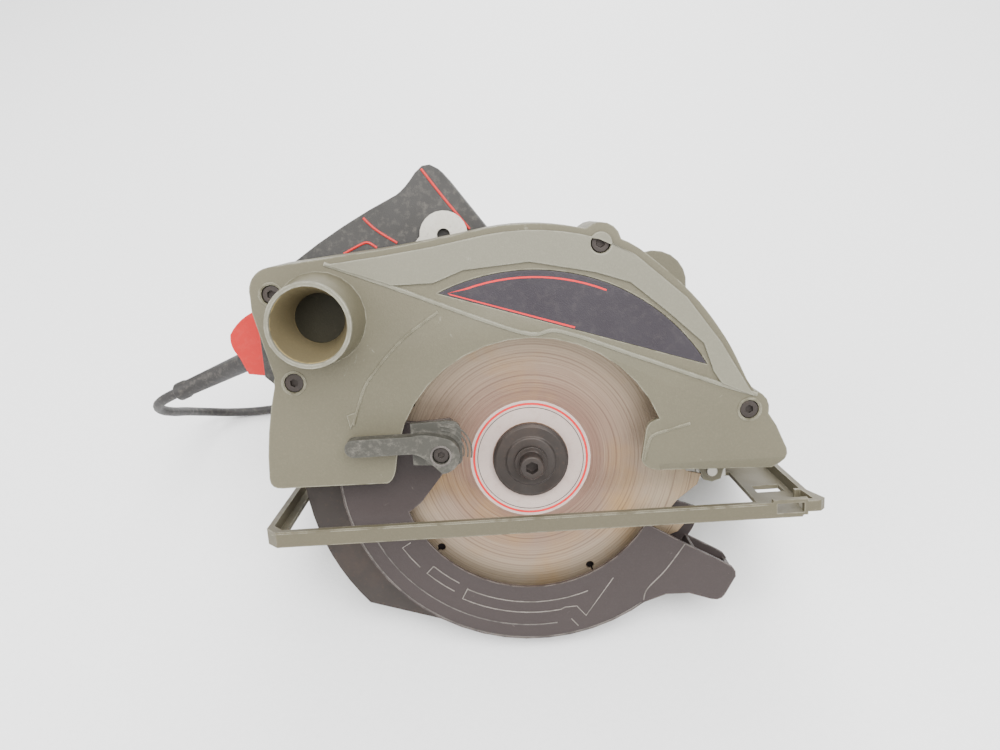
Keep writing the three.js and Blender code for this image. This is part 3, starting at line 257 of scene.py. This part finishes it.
def plastic(name, colour, roughness=0.5, grain=1600.0, dust=(0.55, 0.5, 0.42), dusty=0.12):
    """Moulded plastic with a fine grain, a little dust and paler edges."""
    skin = Material(name, colour, roughness, 0.0, 0.45)
    skin.mix(skin.ramp(skin.noise(18, 5), 0.4, 0.7), tinted(colour, 1.35, 0.01), 0.35)
    skin.mix(skin.ramp(skin.noise(240, 7, 0.7), 0.5, 0.75), dust, dusty)
    skin.mix(skin.edges(), tinted(colour, 1.8, 0.03), 0.4)
    skin.bump(skin.noise(grain, 2), 0.00015, 0.6)
    skin.roughen(skin.ramp(skin.noise(45, 4), 0.35, 0.7), min(1, roughness + 0.15))
    return skin


def metal(name, colour, roughness, stain=(0.25, 0.19, 0.14), stained=0.35, metallic=0.85):
    """Bare metal with broad and fine stains."""
    plate = Material(name, colour, roughness, metallic)
    plate.mix(plate.ramp(plate.noise(30, 6, 0.65), 0.48, 0.75), stain, stained)
    plate.mix(plate.ramp(plate.noise(420, 4, 0.7), 0.56, 0.7), stain, stained)
    plate.roughen(plate.ramp(plate.noise(90, 5), 0.35, 0.75), min(1, roughness + 0.25))
    plate.bump(plate.noise(700, 3), 0.0001, 0.5)
    return plate


GREY_PAINT = (0.125, 0.113, 0.073)
WORN_PAINT = (0.34, 0.325, 0.25)
guard_paint = casting("guard_paint", GREY_PAINT, WORN_PAINT)
# A lighter copy of the guard paint: a painted highlight on the rim band, the ridge and the dust port's rim.
rim_highlight_paint = casting("rim_highlight_paint", (0.185, 0.176, 0.13), (0.42, 0.41, 0.34))
shoe_paint = casting("shoe_paint", (0.105, 0.092, 0.058), (0.3, 0.28, 0.21))
lower_paint = casting("lower_guard_paint", (0.038, 0.0275, 0.026), (0.2, 0.17, 0.15))
lever_paint = plastic("lever_plastic", (0.042, 0.04, 0.032), 0.45, dusty=0.2)
dark_plastic = plastic("dark_plastic", (0.036, 0.034, 0.033))
grip_plastic = plastic("grip_plastic", (0.04, 0.038, 0.036), 0.6)
red_plastic = plastic("red_plastic", (0.5, 0.012, 0.01), 0.4, dusty=0.04)
rubber = plastic("rubber", (0.022, 0.02, 0.019), 0.5, grain=900)
zinc = metal("zinc", (0.62, 0.6, 0.54), 0.38)
steel = metal("steel", (0.6, 0.57, 0.53), 0.32)
dark_steel = metal(
    "dark_steel", (0.05, 0.042, 0.038), 0.36, stain=(0.09, 0.06, 0.045), stained=0.4, metallic=0.6
)
copper = metal("copper", (0.6, 0.28, 0.14), 0.35)
brass = metal("brass", (0.6, 0.45, 0.2), 0.35)
carbon = plastic("carbon", (0.02, 0.02, 0.021), 0.7)
label_print = plastic("label_print", (0.024, 0.019, 0.025), 0.34, dusty=0.03)
label_red = plastic("label_red", (0.6, 0.008, 0.012), 0.38, dusty=0.02)
print_black = plastic("print_black", (0.02, 0.018, 0.018), 0.45, dusty=0.02)
# Paler paint for the lower guard's raised arrow and spout lines.
lower_pale_lines = casting("lower_guard_pale_lines", (0.13, 0.115, 0.1), (0.3, 0.27, 0.24))
lower_edge = casting("lower_guard_edge", (0.07, 0.06, 0.055), (0.2, 0.18, 0.16))
print_pale = plastic("print_pale", (0.47, 0.38, 0.34), 0.4, dust=(0.3, 0.17, 0.12), dusty=0.35)
dusted = casting("dusted_paint", (0.16, 0.13, 0.07), (0.5, 0.38, 0.16))


def blade_steel():
    """Blade steel, ground in rings and stained brown and gold by use."""
    plate = Material("blade_steel", (0.46, 0.37, 0.27), 0.34, 0.72)
    offset = plate.node("ShaderNodeVectorMath", operation="SUBTRACT")
    plate.link(plate.place(), offset.inputs[0])
    offset.inputs[1].default_value = saw_origin
    length = plate.node("ShaderNodeVectorMath", operation="LENGTH")
    plate.link(offset.outputs["Vector"], length.inputs[0])
    radius = length.outputs["Value"]
    rings = plate.node("ShaderNodeTexNoise", noise_dimensions="1D")
    rings.inputs["Scale"].default_value = 900
    rings.inputs["Detail"].default_value = 5
    plate.link(radius, rings.inputs["W"])
    broad = plate.node("ShaderNodeTexNoise", noise_dimensions="4D")
    broad.inputs["Scale"].default_value = 26
    broad.inputs["Detail"].default_value = 4
    plate.link(plate.place(), broad.inputs["Vector"])
    plate.link(plate.math("MULTIPLY", radius, 60), broad.inputs["W"])
    inner = plate.ramp(radius, 0.072, 0.034)
    outer = plate.ramp(radius, 0.066, 0.092)
    plate.mix(inner, (0.25, 0.125, 0.095), 0.8)
    plate.mix(plate.ramp(plate.noise(22, 4), 0.5, 0.72), (0.46, 0.28, 0.11), 0.75)
    plate.mix(outer, (0.27, 0.18, 0.085), 0.5)
    plate.mix(plate.ramp(rings.outputs["Fac"], 0.48, 0.72), (0.11, 0.06, 0.045), 0.6)
    plate.mix(plate.ramp(broad.outputs["Fac"], 0.5, 0.8), (0.62, 0.5, 0.37), 0.35)
    plate.roughen(plate.ramp(rings.outputs["Fac"], 0.4, 0.65), 0.5)
    plate.bump(rings.outputs["Fac"], 0.0002, 0.35)
    return plate


blade_finish = blade_steel()


def floor_material():
    paper = Material("floor", (0.94, 0.945, 0.95), 0.6, 0.0, 0.3)
    paper.mix(paper.ramp(paper.noise(260, 3), 0.4, 0.7), (0.88, 0.89, 0.9), 0.35)
    paper.bump(paper.noise(420, 3), 0.0006, 0.4)
    return paper


# ---------------------------------------------------------------------------------------------
# Floor

FLOOR_HALF = 8
floor_corners = [(x * FLOOR_HALF, y * FLOOR_HALF, 0) for x, y in ((-1, -1), (1, -1), (1, 1), (-1, 1))]
floor_mesh = bpy.data.meshes.new("floor")
floor_mesh.from_pydata(floor_corners, [], [(0, 1, 2, 3)])
floor = bpy.data.objects.new("floor", floor_mesh)
floor_mesh.materials.append(floor_material().material)
scene.collection.objects.link(floor)


# ---------------------------------------------------------------------------------------------
# Pieces

def body_with(node):
    return next(name for name, members in frame["record"]["behaviour"]["bodies"].items() if node in members)


def add(name, mesh, finish, body):
    mesh.materials.clear()
    mesh.materials.append(finish.material)
    piece = bpy.data.objects.new(name, mesh)
    scene.collection.objects.link(piece)
    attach(piece, body)
    return piece


def shade(mesh, degrees=32):
    for polygon in mesh.polygons:
        polygon.use_smooth = True
    mesh.set_sharp_from_angle(angle=math.radians(degrees))


def soften(piece, width, segments=3, degrees=32):
    """Rounds a piece's sharp edges."""
    bevel = piece.modifiers.new("bevel", "BEVEL")
    bevel.width = width * MM
    bevel.segments = segments
    bevel.limit_method = "ANGLE"
    bevel.angle_limit = math.radians(degrees)
    bevel.harden_normals = True
    bevel.use_clamp_overlap = True


def refine(node, finish, width=0.4, segments=2, degrees=32):
    """A CAD node with its flat faces whole and its edges rounded, standing for the node."""
    source = nodes[node]
    shape = bmesh.new()
    shape.from_mesh(source.data)
    shape.transform(source.matrix_world)
    bmesh.ops.remove_doubles(shape, verts=shape.verts, dist=1e-6)
    bmesh.ops.dissolve_limit(shape, angle_limit=math.radians(0.5), verts=shape.verts, edges=shape.edges)
    mesh = bpy.data.meshes.new(node + "_finished")
    shape.to_mesh(mesh)
    shape.free()
    shade(mesh, degrees)
    piece = add(node + "_finished", mesh, finish, body_with(node))
    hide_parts(node)
    if width:
        soften(piece, width, segments, degrees)
    return piece


# The nodes that show: finish, width of the rounded edges in millimetres, and segments across them
seen = {
    "upper_guard": (guard_paint, 1.2, 3),
    "inner_guard": (guard_paint, 0.8, 2),
    "gear_housing": (guard_paint, 0.8, 2),
    "label_plate": (label_print, 0.15, 1),
    "saw_blade": (blade_finish, 0.12, 1),
    "outer_flange": (dark_steel, 0.3, 2),
    "inner_flange": (dark_steel, 0.3, 2),
    "blade_bolt": (dark_steel, 0.3, 2),
    "riving_knife": (dark_steel, 0.2, 1),
    "lower_guard": (lower_paint, 0.5, 2),
    "guard_lever": (lever_paint, 0.7, 3),
    "guard_lever_screw": (dark_steel, 0.25, 2),
    "shoe": (shoe_paint, 0.7, 2),
    "front_bevel_quadrant": (zinc, 0.4, 2),
    "rear_bevel_quadrant": (zinc, 0.4, 2),
    "front_bevel_bracket": (zinc, 0.4, 2),
    "rear_bevel_bracket": (zinc, 0.4, 2),
    "depth_arc": (zinc, 0.4, 2),
    "fence_bridge": (shoe_paint, 0.5, 2),
    "front_pivot_pin": (zinc, 0.3, 2),
    "motor_housing": (grip_plastic, 0.6, 2),
    "motor_end_cap": (grip_plastic, 1.0, 3),
    "handle_shell_right": (grip_plastic, 3.5, 5),
    "handle_shell_left": (grip_plastic, 3.5, 5),
    "trigger": (red_plastic, 1.2, 3),
    "lock_off_button": (red_plastic, 0.8, 3),
    "spindle_lock_button": (red_plastic, 0.8, 3),
    "rear_cap": (red_plastic, 3.0, 4),
    "strain_relief": (rubber, 0.6, 2),
    "front_handle": (grip_plastic, 1.2, 3),
    "depth_lock_lever": (dark_plastic, 1.0, 3),
    "front_bevel_lock": (dark_plastic, 1.0, 3),
    "rear_bevel_lock": (dark_plastic, 1.0, 3),
    "fence_lock_screw": (dark_plastic, 1.0, 3),
    "plug": (rubber, 2.5, 4),
}
for number in range(1, 5):
    seen[f"guard_screw_{number}"] = (dark_steel, 0.4, 2)
pieces = {node: refine(node, *how) for node, how in seen.items()}

inside = {
    "riving_knife_screw": zinc,
    "guard_return_spring": steel,
    "spindle_shaft": steel,
    "drive_gear": steel,
    "spindle_bearing_front": steel,
    "spindle_bearing_rear": steel,
    "stator": dark_steel,
    "armature_shaft": steel,
    "armature_core": dark_steel,
    "commutator": copper,
    "cooling_fan": dark_plastic,
    "armature_bearing_front": steel,
    "armature_bearing_rear": steel,
    "brush_holder_front": brass,
    "brush_holder_rear": brass,
    "carbon_brush_front": carbon,
    "carbon_brush_rear": carbon,
    "switch_module": dark_plastic,
}
for node, finish in inside.items():
    nodes[node].data.materials.clear()
    nodes[node].data.materials.append(finish.material)


# ---------------------------------------------------------------------------------------------
# Overlays: thin plates and rounded beads on the pieces, from outlines in the saw's X and Z

face_on = Matrix(((1, 0, 0, 0), (0, 0, -1, 0), (0, 1, 0, 0), (0, 0, 0, 1)))


def as_mesh(name, data, place):
    """The curve as a mesh in the row frame."""
    holder = bpy.data.objects.new(name + "_curve", data)
    scene.collection.objects.link(holder)
    evaluated = holder.evaluated_get(bpy.context.evaluated_depsgraph_get())
    mesh = bpy.data.meshes.new_from_object(evaluated)
    bpy.data.objects.remove(holder)
    mesh.transform(place)
    shade(mesh, 40)
    mesh.name = name
    return mesh


def plate(name, loops, y0, y1, finish, body, slot, edge=0.0):
    """A sheet from y0 (towards the viewer) to y1; the first loop is its outline, the rest are holes."""
    data = bpy.data.curves.new(name, "CURVE")
    data.dimensions = "2D"
    data.fill_mode = "BOTH"
    data.extrude = (y1 - y0) / 2 - edge
    data.bevel_depth = edge
    data.bevel_resolution = 2
    data.offset = -edge
    for loop in loops:
        spline = data.splines.new("POLY")
        spline.points.add(len(loop) - 1)
        for place, (x, z) in zip(spline.points, loop):
            place.co = (x, z, 0, 1)
        spline.use_cyclic_u = True
    middle = Matrix.Translation((0, (y0 + y1) / 2, 0))
    return add(name, as_mesh(name, data, to_row @ middle @ face_on), finish, body)


def beads(name, lines, y, radius, finish, body, slot, flatten=1.0):
    """Rounded beads along open lines of (x, z) points, half sunk in the face at y."""
    data = bpy.data.curves.new(name, "CURVE")
    data.dimensions = "3D"
    data.bevel_depth = radius
    data.bevel_resolution = 2
    data.use_fill_caps = True
    data.resolution_u = 6
    for line in lines:
        spline = data.splines.new("POLY")
        spline.points.add(len(line) - 1)
        for place, (x, z) in zip(spline.points, line):
            place.co = (x, z, 0, 1)
    sunk = Matrix.Translation((0, y, 0)) @ face_on @ Matrix.Diagonal((1, 1, flatten, 1))
    return add(name, as_mesh(name, data, to_row @ sunk), finish, body)


def bow(radius, start, end, step=4.0, centre=(0.0, 0.0)):
    """Points of an arc about a centre, from one angle to another in degrees."""
    count = max(2, round(abs(end - start) / step))
    points = [polar(radius, start + (end - start) * i / count) for i in range(count + 1)]
    return [(x + centre[0], z + centre[1]) for x, z in points]


def between(p, q, r, s, t):
    """The smooth curve from q to r whose neighbours are p and s, at a share t of the way."""
    square = (2 * p - 5 * q + 4 * r - s) * t ** 2
    cube = (3 * q - p - 3 * r + s) * t ** 3
    return 0.5 * (2 * q + (r - p) * t + square + cube)


def smooth(points, per_span=6):
    """A smooth line through the points."""
    ends = [points[0], *points, points[-1]]
    line = []
    for a, b, c, d in zip(ends, ends[1:], ends[2:], ends[3:]):
        for i in range(per_span):
            line.append(tuple(between(p, q, r, s, i / per_span) for p, q, r, s in zip(a, b, c, d)))
    return [*line, points[-1]]


def guard_relief():
    """The raised rim band and the ridge below the label, painted lighter as a painted highlight; the rib round the
    window and its arrow.
    """
    on_guard = ("saw_body", "casting")
    ridge = [(-96.5, 113.5), (-64.4, 100.3), (-2.6, 74.2), (17.4, 73.4)]
    ridge += [(57.1, 57.7), (98, 41.1), (116.2, 34.8)]
    outer = [(-96, 113.1), (-68.8, 115.6), (-44, 118.5), *bow(124, 98, 72)]
    outer += [polar(122.6, 63), polar(118.5, 47), polar(116.4, 33), (114.5, 34.2), (98, 41.8)]
    inner = [(94, 48), (89, 63), (71, 80), (53, 95.6), (36, 101.5), (3.6, 108.6)]
    inner += [(-29, 106.4), (-44, 101), (-64.4, 101)]
    hole = bow(5.6, 0, 345, 15, (39, 115.5))
    band = [outer + inner, hole]
    plate("guard_rim_band", band, GUARD_FACE - 1.3, GUARD_FACE + 0.3, rim_highlight_paint, *on_guard, 0.45)
    beads("guard_ridge", [smooth(ridge)], GUARD_FACE, 1.1, rim_highlight_paint, *on_guard, 0.8)
    rib = [(-42.7, 86.7), (-62.3, 73.3), (-80.2, 54.3), (-86.5, 41.6), (-90.1, 31.3)]
    sill = [(58.2, 3), (60.6, 13), (63.5, 16.6), (72, 19), (82, 21.5)]
    beads("guard_ribs", [smooth(rib), smooth(sill)], GUARD_FACE, 0.8, guard_paint, *on_guard, 0.8)
    arrow = [(-93.2, 36.6), (-87.4, 38.4), (-91.8, 29.2)]
    plate("guard_arrow", [arrow], GUARD_FACE - 0.5, GUARD_FACE + 0.2, guard_paint, *on_guard, 0.1)
    for number, screw in enumerate([(-124, 100), (-118, 55), (112.5, 27)], start=1):
        ring = [bow(6.4, 0, 345, 15, screw), bow(5.4, 0, 345, 15, screw)]
        name = f"guard_screw_rim_{number}"
        plate(name, ring, GUARD_FACE - 0.35, GUARD_FACE + 0.2, guard_paint, *on_guard, 0.15)


def turned(name, profile, centre, finish, body, sides=40):
    """A closed profile of (radius, y) turned about the line along Y through the centre."""
    shape = bmesh.new()
    rings = []
    for i in range(sides):
        angle = 2 * math.pi * i / sides
        rings.append([
            shape.verts.new(at(centre[0] + r * math.cos(angle), y, centre[1] + r * math.sin(angle)))
            for r, y in profile
        ])
    for ring, after in zip(rings, rings[1:] + rings[:1]):
        for i in range(len(profile)):
            j = (i + 1) % len(profile)
            shape.faces.new((ring[i], ring[j], after[j], after[i]))
    bmesh.ops.recalc_face_normals(shape, faces=shape.faces)
    mesh = bpy.data.meshes.new(name)
    shape.to_mesh(mesh)
    shape.free()
    shade(mesh, 40)
    return add(name, mesh, finish, body)


def dust_port():
    """The port's tapered throat, coated with sawdust, and its rim, painted lighter as a painted highlight."""
    throat = [(18.3, -47.6), (13.2, -27), (12.6, -22.6), (14.4, -22.6), (18.3, -27)]
    turned("dust_port_throat", throat, PORT_CENTRE, dusted, "saw_body")
    rim = [(18.6, -49.0), (20.3, -49.0), (20.6, -48.2), (20.6, -47.4), (18.2, -47.4), (18.2, -48.5)]
    turned("dust_port_rim", rim, PORT_CENTRE, rim_highlight_paint, "saw_body")


def label_lines():
    """Two thin red lines that meet in a point at the label's left end."""
    width = 0.85
    point = (-37.2, 95.6)
    upper = [point, *bow(101.6, 106, 66, 3)]
    upper += [(x * (1 - width / 102), z * (1 - width / 102)) for x, z in reversed(upper[1:])]
    end = (25, 75.2)
    lower = [point, end, (end[0] - 0.3, end[1] - width), (point[0] + 1.0, point[1] - width * 1.1)]
    for name, loop in (("label_line_upper", upper), ("label_line_lower", lower)):
        plate(name, [loop], GUARD_FACE - 0.1, GUARD_FACE + 0.1, label_red, "saw_body", "label")


def blade_print():
    """A plain pale printed disc with two thin rings."""
    disc = [bow(33, 0, 352, 8), bow(20.9, 0, 350, 10)]
    plate("blade_print_disc", disc, BLADE_FACE - 0.06, BLADE_FACE + 0.1, print_pale, "spindle", "steel")
    for name, outer, inner, ink in (("red", 31.6, 30.4, label_red), ("black", 29.2, 28.8, print_black)):
        ring = [bow(outer, 0, 355, 5), bow(inner, 0, 355, 5)]
        name = f"blade_print_ring_{name}"
        plate(name, ring, BLADE_FACE - 0.1, BLADE_FACE + 0.05, ink, "spindle", "steel")


def lower_guard_lines():
    """Raised edges of the arrow and of the rim on the lower guard's near side."""
    rear_dash = [polar(80, -149), *bow(85.5, -149, -139)]
    middle_dash = [[polar(80, -135.5), *bow(85.6, -135.5, -123)], bow(80, -135.5, -123)]
    arrow_head = [(14.8, -85.5), (21.2, -85.2), (26.2, -91.4), (42.2, -69.3)]
    front_dash = [[polar(80.5, -119), *bow(87.6, -119, -82), *arrow_head], bow(81.2, -119, -70)]
    barb = [(17.8, -92.8), (21.6, -97.4)]
    lines = [rear_dash, *middle_dash, *front_dash, barb]
    on_lower_guard = ("lower_guard_body", "guard_metal")
    beads("lower_guard_arrow", lines, LOWER_GUARD_FACE, 0.32, lower_pale_lines, *on_lower_guard, 0.8)
    rim = [bow(102.9, -206, -56), bow(95.2, -162, -84)]
    beads("lower_guard_rim_lines", rim, LOWER_GUARD_FACE, 0.36, lower_edge, *on_lower_guard, 0.8)
    spout = smooth([polar(102.5, -55), (61.0, -77.4), (71.4, -66.5), (82.2, -51.8)])
    beads("lower_guard_spout_line", [spout], LOWER_GUARD_FACE, 0.34, lower_pale_lines, *on_lower_guard, 0.8)


def lever_ridges():
    """Grip ridges round the lever's screw and a light rim at its recess."""
    on_lever = ("lower_guard_body", "guard_metal")
    ridges = [bow(radius, -15, 88, 6, LEVER_SCREW) for radius in (11.4, 13.4, 15.4)]
    beads("lever_ridges", ridges, LEVER_FACE, 0.4, lever_paint, *on_lever, 0.8)
    rim = [bow(5.5, 0, 345, 15, LEVER_SCREW), bow(4.5, 0, 345, 15, LEVER_SCREW)]
    plate("lever_screw_rim", rim, LEVER_SCREW_FACE - 0.5, LEVER_SCREW_FACE, lower_edge, *on_lever, 0.12)


def handle_seams():
    """Red inlays on the near side of the handle."""
    lines = [
        [(-49.5, 158.2), (-38.9, 142.9), (-25.7, 125.1)],
        [(-82.9, 134.4), (-76.5, 127.7), (-65.7, 120)],
        [(-95.2, 115.9), (-84.8, 120.6), (-81, 120.9), (-76.9, 118)],
    ]
    inlays = [smooth(line) for line in lines]
    beads("handle_inlays", inlays, HANDLE_FACE, 0.7, red_plastic, "saw_body", "red_plastic")


def shoe_marks():
    """The line along the near lip."""
    lip = [(x, -21.6) for x in range(-136, 121, 8)]
    beads("shoe_lip_line", [lip], SHOE_LIP_FACE, 0.3, shoe_paint, "shoe_body", "olive", 0.7)


guard_relief()
dust_port()
label_lines()
blade_print()
lower_guard_lines()
lever_ridges()
handle_seams()
shoe_marks()


# ---------------------------------------------------------------------------------------------
# Mains lead: the CAD's route, then the turns of its coil

LEAD_DIAMETER = 6.2
COIL = {"x": -25.0, "y": 170.0, "radius": 34.0, "wide": 2, "high": 4}
ON_FLOOR = LEAD_DIAMETER / 2 + 0.1
lead_route = [
    (-168.0, 21.6, 98.4),
    (-178.9, 21.6, 93.3),
    (-184.3, 21.6, 90.7),
    (-193.1, 22.9, 84.6),
    (-199.1, 26.5, 76.5),
    (-201.4, 32.0, 67.2),
    (-202.2, 43.0, 53.0),
    (-201.6, 56.0, 38.5),
    (-200.2, 67.5, 25.0),
    (-196.0, 76.5, 14.0),
    (-187.0, 82.0, 6.6),
    (-174.0, 84.2, ON_FLOOR + 0.4),
    (-158.0, 85.4, ON_FLOOR),
    (-138.0, 88.4, ON_FLOOR),
    (-118.0, 95.0, ON_FLOOR),
    (-99.0, 105.6, ON_FLOOR),
    (-80.0, 118.0, ON_FLOOR),
    (-62.0, 127.6, ON_FLOOR),
    (-47.5, 132.2, ON_FLOOR),
]
tail_route = [
    (7.7, 142.4, 20.7),
    (16.5, 145.6, 20.0),
    (26.0, 149.1, 15.9),
    (34.5, 152.2, 13.4),
    (41.5, 154.7, 12.5),
]


def coil_turns():
    """Points of the turns: pairs of turns side by side, each pair on the last."""
    half = LEAD_DIAMETER / 2
    inner, outer = COIL["radius"] - half, COIL["radius"] + half
    radii = [outer, inner, inner, outer, outer, inner, inner, outer]
    levels = [0, 0, 1, 1, 2, 2, 3, 3]
    start = -90.0
    turns = 7.06
    per_turn = 24
    last = len(radii) - 1
    points = []
    for i in range(int(turns * per_turn) + 1):
        turn = i / per_turn
        index = min(int(turn), last)
        blend = max(0.0, (turn - index - 0.75) / 0.25)
        ease = blend * blend * (3 - 2 * blend)
        after = min(index + 1, last)
        radius = radii[index] + (radii[after] - radii[index]) * ease
        level = levels[index] + (levels[after] - levels[index]) * ease
        angle = math.radians(start + 360 * turn)
        x = COIL["x"] + radius * math.cos(angle)
        y = COIL["y"] + radius * math.sin(angle)
        points.append((x, y, ON_FLOOR + level * LEAD_DIAMETER))
    return points


def mains_lead():
    points = lead_route + coil_turns() + tail_route
    data = bpy.data.curves.new("mains_lead_full", "CURVE")
    data.dimensions = "3D"
    data.bevel_depth = LEAD_DIAMETER / 2 * MM
    data.bevel_resolution = 4
    data.use_fill_caps = True
    data.resolution_u = 4
    spline = data.splines.new("BEZIER")
    spline.bezier_points.add(len(points) - 1)
    for place, point in zip(spline.bezier_points, points):
        place.co = Vector(point) * MM
        place.handle_left_type = place.handle_right_type = "AUTO"
    data.materials.append(rubber.material)
    lead = bpy.data.objects.new("mains_lead_full", data)
    scene.collection.objects.link(lead)
    return lead


lead = mains_lead()
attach(lead, "saw_body")
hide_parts("mains_lead", "lead_coil", "lead_tail")
